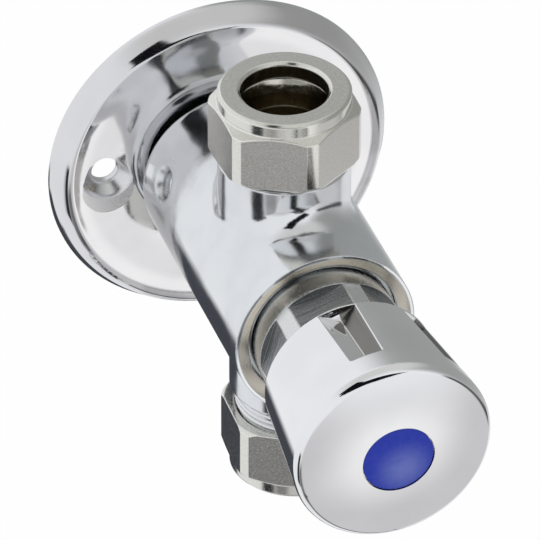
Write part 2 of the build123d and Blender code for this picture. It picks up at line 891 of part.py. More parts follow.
def indice_disc():
    """Coloured disc with a faintly crowned face."""
    front = recess_floor_reach + indice_thick
    tip = front + indice_crown
    outline = [
        Line((0, -tip), (0, -recess_floor_reach)),
        Line((0, -recess_floor_reach), (indice_r, -recess_floor_reach)),
        Line((indice_r, -recess_floor_reach), (indice_r, -front)),
        dome_arc(indice_r, front, tip),
    ]
    return revolve(make_face(Curve() + outline), axis=Axis.Y)


nodes = {
    "wall_flange": wall_flange(),
    "flange_boss": flange_boss(),
    "valve_body": valve_body(),
    "body_grub_screw": body_grub_screw(),
    "top_nut": compression_nut(1, top_nut_turn),
    "bottom_nut": compression_nut(-1, bottom_nut_turn),
    "top_olive": olive(1),
    "bottom_olive": olive(-1),
    "inlet_strainer": inlet_strainer(),
    "cartridge_housing": cartridge_housing(),
    "housing_seal": seal_ring(front_chamber_r, seal_section, housing_seal_reach),
    "nose_seal": seal_ring(rear_chamber_r, seal_section, nose_seal_reach),
    "gland_bush": gland_bush(),
    "gland_seal": seal_ring(spindle_r + gland_seal_section, gland_seal_section, gland_seal_reach()),
    "valve_seat": valve_seat(),
    "valve_washer": valve_washer(),
    "washer_plate": washer_plate(),
    "washer_nut": washer_nut(),
    "spindle": spindle(),
    "piston_clip": piston_clip(),
    "piston": piston(),
    "cup_seal": cup_seal(),
    "metering_pin": metering_pin(),
    "return_spring": return_spring(),
    "push_button": push_button(),
    "button_screw": button_screw(),
    "indice_disc": indice_disc(),
}

os.makedirs("parts", exist_ok=True)
for name, solid in nodes.items():
    export_step(solid, f"parts/{name}.step")
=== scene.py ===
import json
import math

import bmesh
import bpy
from mathutils import Matrix, Vector


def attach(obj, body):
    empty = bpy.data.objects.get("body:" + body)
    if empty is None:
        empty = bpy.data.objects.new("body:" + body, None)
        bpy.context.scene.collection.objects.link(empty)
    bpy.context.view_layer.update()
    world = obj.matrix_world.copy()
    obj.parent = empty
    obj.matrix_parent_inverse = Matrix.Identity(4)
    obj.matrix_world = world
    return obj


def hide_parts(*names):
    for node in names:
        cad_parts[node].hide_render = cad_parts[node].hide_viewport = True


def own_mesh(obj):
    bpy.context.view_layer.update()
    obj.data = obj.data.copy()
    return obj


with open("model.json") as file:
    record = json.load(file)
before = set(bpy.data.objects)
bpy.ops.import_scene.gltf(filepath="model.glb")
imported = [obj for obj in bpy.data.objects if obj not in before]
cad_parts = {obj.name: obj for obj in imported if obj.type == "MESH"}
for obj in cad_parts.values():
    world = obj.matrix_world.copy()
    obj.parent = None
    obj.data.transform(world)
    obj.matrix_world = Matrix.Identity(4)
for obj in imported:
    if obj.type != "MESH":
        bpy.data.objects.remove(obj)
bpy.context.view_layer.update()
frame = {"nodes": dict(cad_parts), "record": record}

nodes = frame["nodes"]

MM_A_METRE = 1000
MICRON = 0.000001


# The photograph's view: a long lens, 19 degrees to the left and 36 degrees above.

LENS_LENGTH = 400
FILM_WIDTH = 36
CLIP_END = 20
CAMERA_PLACE = (-0.281899, -0.843643, 0.620650)
CAMERA_RIGHT = Vector((0.94554754, -0.32547416, 0.00253219))
CAMERA_DOWN = Vector((-0.18960122, -0.55710797, -0.80850608))
CAMERA_FORWARD = Vector((0.26455854, 0.76400084, -0.58848237))

camera_data = bpy.data.cameras.new("long_lens")
camera_data.sensor_width = FILM_WIDTH
camera_data.lens = LENS_LENGTH
camera_data.clip_end = CLIP_END
camera = bpy.data.objects.new("long_lens", camera_data)
bpy.context.scene.collection.objects.link(camera)
turn = Matrix((CAMERA_RIGHT, -CAMERA_DOWN, -CAMERA_FORWARD)).transposed().to_4x4()
camera.matrix_world = Matrix.Translation(CAMERA_PLACE) @ turn
bpy.context.scene.camera = camera
bpy.context.scene.view_settings.view_transform = "Standard"


# Small helpers for wiring nodes. A value is a number, a colour or another node's output.

def plug(tree, socket, value):
    if isinstance(value, bpy.types.NodeSocket):
        tree.links.new(value, socket)
    elif isinstance(value, tuple) and socket.type == "RGBA":
        socket.default_value = (*value, 1)
    else:
        socket.default_value = value


def source_of(socket):
    return socket.links[0].from_socket


def calc(tree, operation, first, second=0.0):
    node = tree.nodes.new("ShaderNodeMath")
    node.operation = operation
    plug(tree, node.inputs[0], first)
    plug(tree, node.inputs[1], second)
    return node.outputs[0]


def calc_vector(tree, operation, first, second=(0, 0, 0)):
    node = tree.nodes.new("ShaderNodeVectorMath")
    node.operation = operation
    plug(tree, node.inputs[0], first)
    plug(tree, node.inputs[1], second)
    return node.outputs["Value" if operation == "DOT_PRODUCT" else "Vector"]


def scaled(tree, vector, factor):
    node = tree.nodes.new("ShaderNodeVectorMath")
    node.operation = "SCALE"
    plug(tree, node.inputs[0], vector)
    plug(tree, node.inputs["Scale"], factor)
    return node.outputs["Vector"]


def stretched(tree, position, angles, scale):
    node = tree.nodes.new("ShaderNodeMapping")
    plug(tree, node.inputs["Vector"], position)
    node.inputs["Rotation"].default_value = [math.radians(a) for a in angles]
    node.inputs["Scale"].default_value = scale
    return node.outputs["Vector"]


def part(tree, vector, axis):
    """One of a vector's three numbers."""
    node = tree.nodes.new("ShaderNodeSeparateXYZ")
    plug(tree, node.inputs[0], vector)
    return node.outputs[axis]


def distance(tree, position, keep=(1, 1, 1), centre=(0, 0, 0)):
    """Distance from the centre along the axes that keep marks with 1."""
    off = calc_vector(tree, "MULTIPLY", calc_vector(tree, "SUBTRACT", position, centre), keep)
    return calc(tree, "SQRT", calc_vector(tree, "DOT_PRODUCT", off, off))


def step(tree, value, low, high):
    node = tree.nodes.new("ShaderNodeMapRange")
    node.interpolation_type = "SMOOTHSTEP"
    plug(tree, node.inputs["Value"], value)
    plug(tree, node.inputs["From Min"], low)
    plug(tree, node.inputs["From Max"], high)
    return node.outputs["Result"]


def above(tree, value, limit, blur):
    """1 where the value is over the limit, with a soft edge of blur on each side."""
    return step(tree, value, limit - blur, limit + blur)


def below(tree, value, limit, blur):
    return step(tree, value, limit + blur, limit - blur)


def spread(tree, value, low, high):
    """Stretches a 0 to 1 value over low to high."""
    node = tree.nodes.new("ShaderNodeMapRange")
    plug(tree, node.inputs["Value"], value)
    plug(tree, node.inputs["To Min"], low)
    plug(tree, node.inputs["To Max"], high)
    return node.outputs["Result"]


def tint(tree, amount, first, second):
    node = tree.nodes.new("ShaderNodeMix")
    node.data_type = "RGBA"
    plug(tree, node.inputs[0], amount)
    plug(tree, node.inputs[6], first)
    plug(tree, node.inputs[7], second)
    return node.outputs[2]


def noise(tree, position, scale, detail):
    node = tree.nodes.new("ShaderNodeTexNoise")
    plug(tree, node.inputs["Vector"], position)
    plug(tree, node.inputs["Scale"], scale)
    plug(tree, node.inputs["Detail"], detail)
    return node.outputs["Fac"]


# Surface effects that several finishes share. Positions and sizes are in millimetres.

NUMBER = "NodeSocketFloat"
VECTOR = "NodeSocketVector"


def open_group(name, inputs, outputs):
    """Starts an effect. Returns its tree, the sockets that it reads and those that it fills."""
    group = bpy.data.node_groups.new(name, "ShaderNodeTree")
    for label, kind in inputs.items():
        group.interface.new_socket(name=label, in_out="INPUT", socket_type=kind)
    for label, kind in outputs.items():
        group.interface.new_socket(name=label, in_out="OUTPUT", socket_type=kind)
    entry = group.nodes.new("NodeGroupInput")
    leave = group.nodes.new("NodeGroupOutput")
    return group, entry.outputs, leave.inputs


waves, entry, leave = open_group(
    "casting_waves", {"Position": VECTOR, "Spacing": NUMBER}, {"Height": NUMBER})
often = calc(waves, "DIVIDE", 1.0, entry["Spacing"])
plug(waves, leave["Height"], noise(waves, entry["Position"], often, 1.0))

# The hairlines lie in three directions, each with its turn in degrees and its own seed.
HAIRLINE_LAYS = (((20, 35, 10), 3.0), ((70, -25, 55), 17.0), ((-40, 60, 15), 31.0))
HAIRLINE_STRETCH = (0.05, 1.3, 1.3)
HAIRLINE_WIDTH = 0.008
HAIRLINE_PATCH_SCALE = 0.16
HAIRLINE_PATCH_EDGE = (0.5, 0.62)
HAZE_EDGE = (0.35, 0.7)

polish, entry, leave = open_group(
    "polishing_marks", {"Position": VECTOR, "Patch": NUMBER},
    {"Haze": NUMBER, "Scratches": NUMBER})
haze = noise(polish, entry["Position"], calc(polish, "DIVIDE", 1.0, entry["Patch"]), 3.0)
plug(polish, leave["Haze"], step(polish, haze, *HAZE_EDGE))
hairlines = 0.0
for angles, seed in HAIRLINE_LAYS:
    lay = stretched(polish, entry["Position"], angles, HAIRLINE_STRETCH)
    wander = noise(polish, calc_vector(polish, "ADD", lay, (seed, 0, 0)), 1.0, 1.0)
    away = calc(polish, "ABSOLUTE", calc(polish, "SUBTRACT", wander, 0.5))
    elsewhere = calc_vector(polish, "ADD", entry["Position"], (seed, 5, 0))
    patches = noise(polish, elsewhere, HAIRLINE_PATCH_SCALE, 1.0)
    patch = step(polish, patches, *HAIRLINE_PATCH_EDGE)
    line = calc(polish, "MULTIPLY", step(polish, away, HAIRLINE_WIDTH, 0.0), patch)
    hairlines = calc(polish, "MAXIMUM", hairlines, line)
plug(polish, leave["Scratches"], hairlines)

SPECK_SCALE = 0.6
SPECK_EDGE = (0.42, 0.66)

grain, entry, leave = open_group(
    "metal_grain", {"Position": VECTOR, "Size": NUMBER}, {"Height": NUMBER, "Specks": NUMBER})
fine = noise(grain, entry["Position"], calc(grain, "DIVIDE", 1.0, entry["Size"]), 3.0)
plug(grain, leave["Height"], fine)
often = calc(grain, "DIVIDE", SPECK_SCALE, entry["Size"])
coarse = noise(grain, entry["Position"], often, 3.0)
plug(grain, leave["Specks"], step(grain, coarse, *SPECK_EDGE))

rings, entry, leave = open_group(
    "turning_rings", {"Position": VECTOR, "Pitch": NUMBER}, {"Height": NUMBER})
from_axis = distance(rings, entry["Position"], keep=(1, 1, 0))
along_axis = part(rings, entry["Position"], "Z")
join = rings.nodes.new("ShaderNodeCombineXYZ")
plug(rings, join.inputs["X"], calc(rings, "DIVIDE", from_axis, entry["Pitch"]))
plug(rings, join.inputs["Y"], calc(rings, "DIVIDE", along_axis, entry["Pitch"]))
plug(rings, leave["Height"], noise(rings, join.outputs[0], 1.0, 2.0))

BEVEL_SAMPLES = 6
# How far the rounded normal agrees with the face's where the corners' painted highlight and wear
# start, and where they are full.
HIGHLIGHT_AND_WEAR_EDGE = (0.985, 0.90)

corners, entry, leave = open_group(
    "soft_corners", {"Radius": NUMBER}, {"Normal": VECTOR, "Edge_highlight_and_wear": NUMBER})
rounded = corners.nodes.new("ShaderNodeBevel")
rounded.samples = BEVEL_SAMPLES
plug(corners, rounded.inputs["Radius"], entry["Radius"])
plug(corners, leave["Normal"], rounded.outputs["Normal"])
face_normal = corners.nodes.new("ShaderNodeNewGeometry").outputs["Normal"]
agreement = calc_vector(corners, "DOT_PRODUCT", rounded.outputs["Normal"], face_normal)
plug(corners, leave["Edge_highlight_and_wear"], step(corners, agreement, *HIGHLIGHT_AND_WEAR_EDGE))


def use(tree, group, **values):
    node = tree.nodes.new("ShaderNodeGroup")
    node.node_tree = group
    for label, value in values.items():
        plug(tree, node.inputs[label], value)
    return node.outputs


def bump(tree, height, depth, under=None):
    """Raises a 0 to 1 height by depth in metres, on top of another normal."""
    node = tree.nodes.new("ShaderNodeBump")
    node.inputs["Strength"].default_value = 1
    node.inputs["Distance"].default_value = depth
    plug(tree, node.inputs["Height"], height)
    if under is not None:
        plug(tree, node.inputs["Normal"], under)
    return node.outputs[0]


# Finishes. Depths of bumps and corner radii are in metres, all other lengths in millimetres.

def new_finish(name):
    """Returns the material, its tree, its shader and the position on the piece in millimetres."""
    material = bpy.data.materials.new(name)
    material.use_nodes = True
    tree = material.node_tree
    tree.nodes.clear()
    output = tree.nodes.new("ShaderNodeOutputMaterial")
    shader = tree.nodes.new("ShaderNodeBsdfPrincipled")
    tree.links.new(shader.outputs["BSDF"], output.inputs["Surface"])
    place = tree.nodes.new("ShaderNodeTexCoord").outputs["Object"]
    return material, tree, shader, scaled(tree, place, MM_A_METRE)


CHROME_PATCH = 9.0
HAZE_SHADE = 0.5
HAIRLINE_DEPTH = 0.6 * MICRON
HAIRLINE_ROUGHNESS = 0.08
RIPPLE_SPACING = 1.6


def chrome(name, colour, shadow, roughness, haze, wave, wave_depth, ripple_depth, corner,
           press=None):
    """Chrome plate on polished metal: haze, hairline scratches and the metal's own waves.

    Press is a function that gives the plate its own normal before the waves are laid on it.
    """
    material, tree, shader, position = new_finish(name)
    marks = use(tree, polish, Position=position, Patch=CHROME_PATCH)
    colour = tint(tree, calc(tree, "MULTIPLY", marks["Haze"], HAZE_SHADE), colour, shadow)
    rough = spread(tree, marks["Haze"], roughness, roughness + haze)
    scratched = calc(tree, "MULTIPLY", marks["Scratches"], HAIRLINE_ROUGHNESS)
    swell = use(tree, waves, Position=position, Spacing=wave)
    ripple = use(tree, waves, Position=position, Spacing=RIPPLE_SPACING)
    normal = use(tree, corners, Radius=corner)["Normal"]
    if press is not None:
        normal = press(tree, position, normal)
    normal = bump(tree, swell["Height"], wave_depth, normal)
    normal = bump(tree, ripple["Height"], ripple_depth, normal)
    normal = bump(tree, marks["Scratches"], -HAIRLINE_DEPTH, normal)
    plug(tree, shader.inputs["Base Color"], colour)
    shader.inputs["Metallic"].default_value = 1
    plug(tree, shader.inputs["Roughness"], calc(tree, "ADD", rough, scratched))
    plug(tree, shader.inputs["Normal"], normal)
    return material, tree, shader, position


# Turns that bring a turned piece's own axis to Z, in degrees.
BODY_AXIS = (90, 0, 0)
PIPE_AXIS = (0, 0, 0)
RING_SHADE = 0.6
SPECK_ROUGHNESS = 0.1
# The corners get a painted highlight: their colour is lifted by these two numbers. Wear also
# polishes them smoother.
PAINTED_HIGHLIGHT_LIFT = 0.25
PAINTED_HIGHLIGHT_SHARE = 0.85
WORN_POLISH = 0.5


def turned_metal(name, dark, light, roughness, axis, centre, pitch, ring_depth, grain_size,
                 grain_depth, corner):
    """Turned or tumbled metal: grain, turning rings about its axis, and corners painted brighter as
    a painted highlight and made smoother by wear.
    """
    material, tree, shader, position = new_finish(name)
    speckle = use(tree, grain, Position=position, Size=grain_size)
    moved = calc_vector(tree, "SUBTRACT", position, centre)
    cuts = use(tree, rings, Position=stretched(tree, moved, axis, (1, 1, 1)), Pitch=pitch)
    soft = use(tree, corners, Radius=corner)
    shade = calc(tree, "ADD", speckle["Specks"], cuts["Height"])
    shade = calc(tree, "MULTIPLY", shade, RING_SHADE)
    # Painted highlight: the corners' colour is mixed toward a brighter tone. The lower roughness
    # there is wear.
    bright = tuple(min(1.0, PAINTED_HIGHLIGHT_LIFT + PAINTED_HIGHLIGHT_SHARE * c) for c in light)
    colour = tint(tree, soft["Edge_highlight_and_wear"], tint(tree, shade, dark, light), bright)
    plug(tree, shader.inputs["Base Color"], colour)
    shader.inputs["Metallic"].default_value = 1
    rough = spread(tree, speckle["Specks"], roughness, roughness + SPECK_ROUGHNESS)
    worn = calc(tree, "MULTIPLY", soft["Edge_highlight_and_wear"], roughness * WORN_POLISH)
    plug(tree, shader.inputs["Roughness"], calc(tree, "SUBTRACT", rough, worn))
    normal = bump(tree, speckle["Height"], grain_depth, soft["Normal"])
    plug(tree, shader.inputs["Normal"], bump(tree, cuts["Height"], ring_depth, normal))
    return material, tree, shader, position


DUST_PATCH = 5.0
DUST_SHADE = 0.5
DUST_ROUGHNESS = 0.12


def moulded(name, dark, light, roughness, grain_size, grain_depth):
    """Moulded plastic or rubber: fine mould grain and a little dust."""
    material, tree, shader, position = new_finish(name)
    speckle = use(tree, grain, Position=position, Size=grain_size)
    marks = use(tree, polish, Position=position, Patch=DUST_PATCH)
    dust = calc(tree, "ADD", speckle["Specks"], marks["Haze"])
    dust = calc(tree, "MULTIPLY", dust, DUST_SHADE)
    plug(tree, shader.inputs["Base Color"], tint(tree, dust, dark, light))
    rough = spread(tree, dust, roughness, roughness + DUST_ROUGHNESS)
    plug(tree, shader.inputs["Roughness"], rough)
    plug(tree, shader.inputs["Normal"], bump(tree, speckle["Height"], grain_depth))
    return material


def recolour(tree, shader, mask, colour):
    own = source_of(shader.inputs["Base Color"])
    plug(tree, shader.inputs["Base Color"], tint(tree, mask, own, colour))


def roughen(tree, shader, mask, amount):
    own = source_of(shader.inputs["Roughness"])
    extra = calc(tree, "MULTIPLY", mask, amount)
    plug(tree, shader.inputs["Roughness"], calc(tree, "ADD", own, extra))


def round_corners(tree, radius):
    for node in tree.nodes:
        if node.type == "GROUP" and node.node_tree == corners:
            plug(tree, node.inputs["Radius"], radius)


# What the finishes do on one place of a piece. Reaches are distances out from the wall.

ACROSS_BODY = (1, 0, 1)
ACROSS_PIPE = (1, 1, 0)

PLATE_INNER_R = 13.0
# The pressed plate's slope in degrees, added from one radius to the next: the plate's faint
# crown, its small dip before the rim, the rim's inner rise, its crest, outer cone and edge.
RIM_SLOPES = (
    (13.0, 22.0, 5.0), (24.5, 28.0, -7.0), (28.0, 29.1, 32.0), (29.1, 30.1, 17.0),
    (30.1, 31.3, 17.0), (31.3, 31.8, 14.0))
SCREW_OFFSET = 21.75
SCREW_TURN = 4.0
SCREW_LIP_R = 4.9
SCREW_ROUGHNESS = 0.22


def screw_distance(tree, position):
    """Distance from the nearer screw hole's axis. The two holes are opposite each other."""
    level = stretched(tree, position, (0, SCREW_TURN, 0), ACROSS_BODY)
    folded = calc_vector(tree, "ABSOLUTE", level)
    return distance(tree, folded, centre=(SCREW_OFFSET, 0, 0))


def roll_the_rim(tree, position, normal):
    """Pressing leaves no sharp line: one smooth roll goes from the plate to the rim's edge."""
    radius = distance(tree, position, ACROSS_BODY)
    slope = 0.0
    for start, end, degrees in RIM_SLOPES:
        rise = calc(tree, "MULTIPLY", step(tree, radius, start, end), math.radians(degrees))
        slope = calc(tree, "ADD", slope, rise)
    outward = calc_vector(tree, "NORMALIZE", calc_vector(tree, "MULTIPLY", position, ACROSS_BODY))
    lean = scaled(tree, outward, calc(tree, "SINE", slope))
    upright = scaled(tree, (0, -1, 0), calc(tree, "COSINE", slope))
    to_world = tree.nodes.new("ShaderNodeVectorTransform")
    to_world.vector_type = "NORMAL"
    to_world.convert_from = "OBJECT"
    to_world.convert_to = "WORLD"
    plug(tree, to_world.inputs[0], calc_vector(tree, "ADD", lean, upright))
    own = tree.nodes.new("ShaderNodeTexCoord").outputs["Normal"]
    front = above(tree, calc_vector(tree, "DOT_PRODUCT", own, (0, -1, 0)), 0.25, 0.1)
    rolled = calc(tree, "MULTIPLY", front, above(tree, radius, PLATE_INNER_R, 0.2))
    beside_screws = above(tree, screw_distance(tree, position), SCREW_LIP_R + 0.075, 0.075)
    mix = tree.nodes.new("ShaderNodeMix")
    mix.data_type = "VECTOR"
    plug(tree, mix.inputs[0], calc(tree, "MULTIPLY", rolled, beside_screws))
    plug(tree, mix.inputs[4], normal)
    plug(tree, mix.inputs[5], to_world.outputs[0])
    return mix.outputs[1]


def dull_the_screw_holes(tree, shader, position):
    """The countersinks are pressed, not polished, so they reflect softly."""
    near = below(tree, screw_distance(tree, position), SCREW_LIP_R - 0.1, 0.1)
    roughen(tree, shader, near, SCREW_ROUGHNESS)
    round_corners(tree, spread(tree, near, 100 * MICRON, 600 * MICRON))


MOUTH_REACH = 59.0
LIP_R = 15.7
LIP_DEPTH = 1.0
LIP_METAL = (0.94, 0.88, 0.77)
LIP_ROUGHNESS = 0.16


def warm_the_lip(tree, shader, position):
    """The turned lip round the mouth shows the metal's warm colour through thin plate."""
    near_mouth = below(tree, part(tree, position, "Y"), LIP_DEPTH - MOUTH_REACH, 0.3)
    inside = below(tree, distance(tree, position, ACROSS_BODY), LIP_R, 0.1)
    lip = calc(tree, "MULTIPLY", near_mouth, inside)
    recolour(tree, shader, lip, LIP_METAL)
    roughen(tree, shader, lip, LIP_ROUGHNESS)


TOP_TAIL_REACH = 36.9
LOWER_TAIL_REACH = 43.4
SOCKET_DARK_R = 9.4
SOCKET_DARK_FROM = 6.5
# Brass colour, darkened with painted shade, inside the pipe sockets.
SOCKET_BRASS_AND_PAINTED_SHADE = (0.22, 0.17, 0.09)
SOCKET_ROUGHNESS = 0.25


def darken_the_sockets(tree, shader, position):
    """The pipe sockets are bare machined brass with no plate inside, coloured dark brown: the
    brass's own colour with painted shade deep in the sockets.
    """
    height = part(tree, position, "Z")
    sockets = 0.0
    for reach, beyond in (
            (TOP_TAIL_REACH, above(tree, height, SOCKET_DARK_FROM, 0.5)),
            (LOWER_TAIL_REACH, below(tree, height, -SOCKET_DARK_FROM, 0.5))):
        inside = below(
            tree, distance(tree, position, ACROSS_PIPE, (0, -reach, 0)), SOCKET_DARK_R, 0.2)
        sockets = calc(tree, "MAXIMUM", sockets, calc(tree, "MULTIPLY", inside, beyond))
    recolour(tree, shader, sockets, SOCKET_BRASS_AND_PAINTED_SHADE)
    roughen(tree, shader, sockets, SOCKET_ROUGHNESS)


GRUB_PLACE = (-15.2, -15.2, 6.1)
DIMPLE_R = 4.0
DIMPLE_FADE_R = 5.5
DIMPLE_ROUGHNESS = 0.14


def soften_the_dimple(tree, shader, position):
    """The dimple over the grub screw was cast, so its edge is rounder than the turned edges."""
    near = step(tree, distance(tree, position, centre=GRUB_PLACE), DIMPLE_FADE_R, DIMPLE_R)
    roughen(tree, shader, near, DIMPLE_ROUGHNESS)
    round_corners(tree, spread(tree, near, 400 * MICRON, 1200 * MICRON))


BUTTON_REAR = 71.5
BUTTON_EDGE = 93.9
BUTTON_REAR_R = 15.4
BUTTON_R = 17.87
NOTCH_CENTRES = (-10.0, 50.0, 170.0, 230.0)
NOTCH_SIDE_REACH = 5.5
NOTCH_OUT_FROM = 5.5
# Painted shade on one side of each notch.
NOTCH_PAINTED_SHADE = (0.21, 0.205, 0.195)
NOTCH_ROUGHNESS = 0.22


def shade_one_side_of_each_notch(tree, shader, position):
    """One side of each V notch is painted dark grey as painted shade, and made rougher."""
    reach = calc(tree, "MULTIPLY", part(tree, position, "Y"), -1.0)
    ahead_of_rear = calc(tree, "SUBTRACT", reach, BUTTON_REAR)
    along_skirt = calc(tree, "DIVIDE", ahead_of_rear, BUTTON_EDGE - BUTTON_REAR)
    skirt = spread(tree, along_skirt, BUTTON_REAR_R, BUTTON_R)
    depth = calc(tree, "SUBTRACT", skirt, distance(tree, position, ACROSS_BODY))
    behind_cap = below(tree, reach, BUTTON_EDGE - 3.5, 0.5)
    sunk = calc(tree, "MULTIPLY", above(tree, depth, 0.15, 0.05), behind_cap)
    side = 0.0
    for centre in NOTCH_CENTRES:
        s, c = math.sin(math.radians(centre)), math.cos(math.radians(centre))
        ahead = above(
            tree, calc_vector(tree, "DOT_PRODUCT", position, (s, 0, c)), NOTCH_OUT_FROM, 0.5)
        across = calc_vector(tree, "DOT_PRODUCT", position, (c, 0, -s))
        far_side = calc(tree, "MULTIPLY", above(tree, across, 0.2, 0.1),
                        below(tree, across, NOTCH_SIDE_REACH, 0.5))
        side = calc(tree, "MAXIMUM", side, calc(tree, "MULTIPLY", far_side, ahead))
    shaded_side = calc(tree, "MULTIPLY", sunk, side)
    recolour(tree, shader, shaded_side, NOTCH_PAINTED_SHADE)
    roughen(tree, shader, shaded_side, NOTCH_ROUGHNESS)


HEAD_R = 13.1
FLATS_AHEAD_OF_MOUTH = 3.35
FLATS_DARK = (0.16, 0.17, 0.175)
FLATS_LIGHT = (0.36, 0.38, 0.39)
FLATS_ROUGHNESS = 0.1
STREAK_SCALE = (0.12, 6.0, 0.12)
STREAK_EDGE = (0.3, 0.7)
STREAK_DEPTH = 10 * MICRON


def darken_the_flats(tree, shader, position):
    """The spanner flats are milled and streaky, and their colour is painted darker than the round
    lands between them.
    """
    flats = calc(
        tree, "MULTIPLY",
        below(tree, distance(tree, position, ACROSS_BODY), HEAD_R - 0.1, 0.05),
        below(tree, part(tree, position, "Y"), -MOUTH_REACH - FLATS_AHEAD_OF_MOUTH, 0.15))
    streaks = noise(tree, calc_vector(tree, "MULTIPLY", position, STREAK_SCALE), 1.0, 3.0)
    milled = tint(tree, step(tree, streaks, *STREAK_EDGE), FLATS_DARK, FLATS_LIGHT)
    recolour(tree, shader, flats, milled)
    roughen(tree, shader, flats, FLATS_ROUGHNESS)
    cuts = calc(tree, "MULTIPLY", streaks, flats)
    normal = source_of(shader.inputs["Normal"])
    plug(tree, shader.inputs["Normal"], bump(tree, cuts, STREAK_DEPTH, normal))


finishes = {}

finishes["chrome_flange"], tree, shader, position = chrome(
    "pressed_chrome", colour=(0.74, 0.735, 0.745), shadow=(0.68, 0.68, 0.695),
    roughness=0.04, haze=0.05, wave=11.0, wave_depth=30 * MICRON, ripple_depth=1.5 * MICRON,
    corner=100 * MICRON, press=roll_the_rim)
dull_the_screw_holes(tree, shader, position)

finishes["chrome_body"], tree, shader, position = chrome(
    "cast_chrome", colour=(0.77, 0.785, 0.80), shadow=(0.66, 0.68, 0.70),
    roughness=0.10, haze=0.08, wave=6.0, wave_depth=60 * MICRON, ripple_depth=5 * MICRON,
    corner=400 * MICRON)
warm_the_lip(tree, shader, position)
darken_the_sockets(tree, shader, position)
soften_the_dimple(tree, shader, position)

finishes["chrome_button"], tree, shader, position = chrome(
    "button_chrome", colour=(0.84, 0.84, 0.85), shadow=(0.78, 0.785, 0.79),
    roughness=0.02, haze=0.03, wave=12.0, wave_depth=12 * MICRON, ripple_depth=0.6 * MICRON,
    corner=150 * MICRON)
shade_one_side_of_each_notch(tree, shader, position)

finishes["brushed_head"], tree, shader, position = turned_metal(
    "brushed_head", dark=(0.66, 0.67, 0.665), light=(0.74, 0.745, 0.74), roughness=0.12,
    axis=BODY_AXIS, centre=(0, 0, 0), pitch=0.16, ring_depth=6 * MICRON, grain_size=0.3,
    grain_depth=0.5 * MICRON, corner=120 * MICRON)
darken_the_flats(tree, shader, position)

finishes["bright_olive"] = turned_metal(
    "bright_olive", dark=(0.80, 0.79, 0.75), light=(0.90, 0.89, 0.85), roughness=0.05,
    axis=PIPE_AXIS, centre=(0, -TOP_TAIL_REACH, 0), pitch=0.6, ring_depth=3 * MICRON,
    grain_size=0.4, grain_depth=MICRON, corner=200 * MICRON)[0]
finishes["plain_brass"] = turned_metal(
    "plain_brass", dark=(0.66, 0.49, 0.20), light=(0.78, 0.61, 0.30), roughness=0.2,
    axis=BODY_AXIS, centre=(0, 0, 0), pitch=0.25, ring_depth=3 * MICRON, grain_size=0.12,
    grain_depth=MICRON, corner=200 * MICRON)[0]
finishes["steel_screw"] = turned_metal(
    "bright_steel", dark=(0.42, 0.42, 0.42), light=(0.68, 0.68, 0.69), roughness=0.2,
    axis=BODY_AXIS, centre=(0, 0, 0), pitch=0.15, ring_depth=2 * MICRON, grain_size=0.3,
    grain_depth=2 * MICRON, corner=100 * MICRON)[0]
finishes["white_plastic"] = moulded(
    "white_acetal", dark=(0.80, 0.80, 0.77), light=(0.86, 0.86, 0.84), roughness=0.35,
    grain_size=0.5, grain_depth=4 * MICRON)
finishes["black_rubber"] = moulded(
    "black_rubber", dark=(0.020, 0.020, 0.021), light=(0.060, 0.060, 0.062), roughness=0.5,
    grain_size=0.3, grain_depth=8 * MICRON)


def nut_nickel(name, reach):
    return turned_metal(
        name, dark=(0.66, 0.655, 0.615), light=(0.79, 0.78, 0.73), roughness=0.12,
        axis=PIPE_AXIS, centre=(0, -reach, 0), pitch=0.3, ring_depth=3 * MICRON,
        grain_size=0.14, grain_depth=2.5 * MICRON, corner=400 * MICRON)[0]


PALE_PLACE = (1.0, 0.0, -2.2)
PALE_R = 6.5
DEEP_BLUE = (0.0, 0.022, 0.40)
PALE_BLUE = (0.12, 0.16, 0.52)
ENAMEL_SPECKS = 0.05
ENAMEL_SHINE = 0.3
ENAMEL_ROUGHNESS = (0.16, 0.26)


def blue_enamel(name):
    """Clear blue plastic disc, paler below its middle."""
    material, tree, shader, position = new_finish(name)
    away = distance(tree, position, ACROSS_BODY, PALE_PLACE)
    specks = use(tree, grain, Position=position, Size=0.6)["Specks"]
    pale = calc(tree, "ADD", step(tree, away, PALE_R, 0.0),
                calc(tree, "MULTIPLY", specks, ENAMEL_SPECKS))
    plug(tree, shader.inputs["Base Color"], tint(tree, pale, DEEP_BLUE, PALE_BLUE))
    marks = use(tree, polish, Position=position, Patch=3.0)
    shader.inputs["Specular IOR Level"].default_value = ENAMEL_SHINE
    plug(tree, shader.inputs["Roughness"], spread(tree, marks["Haze"], *ENAMEL_ROUGHNESS))
    swell = use(tree, waves, Position=position, Spacing=3.0)
    normal = bump(tree, swell["Height"], 10 * MICRON)
    plug(tree, shader.inputs["Normal"], bump(tree, marks["Scratches"], -MICRON, normal))
    return material


finishes["blue_indice"] = blue_enamel("blue_disc")

by_node = {
    "top_nut": nut_nickel("top_nut_nickel", TOP_TAIL_REACH),
    "bottom_nut": nut_nickel("bottom_nut_nickel", LOWER_TAIL_REACH),
    "body_grub_screw": turned_metal(
        "plated_grub_screw", dark=(0.72, 0.73, 0.74), light=(0.84, 0.85, 0.86), roughness=0.25,
        axis=BODY_AXIS, centre=(0, 0, 0), pitch=0.3, ring_depth=MICRON, grain_size=0.2,
        grain_depth=MICRON, corner=500 * MICRON)[0],
}

for subpart in frame["record"]["subparts"]:
    mesh = nodes[subpart["node"]].data
    mesh.materials.clear()
    mesh.materials.append(by_node.get(subpart["node"]) or finishes[subpart["material_slot"]])


# Studio: a white tent with soft-edged cards in it, as the chrome reflects them.

world = bpy.data.worlds.new("white_tent")
bpy.context.scene.world = world
world.use_nodes = True
tree = world.node_tree
tree.nodes.clear()
look = tree.nodes.new("ShaderNodeTexCoord").outputs["Generated"]


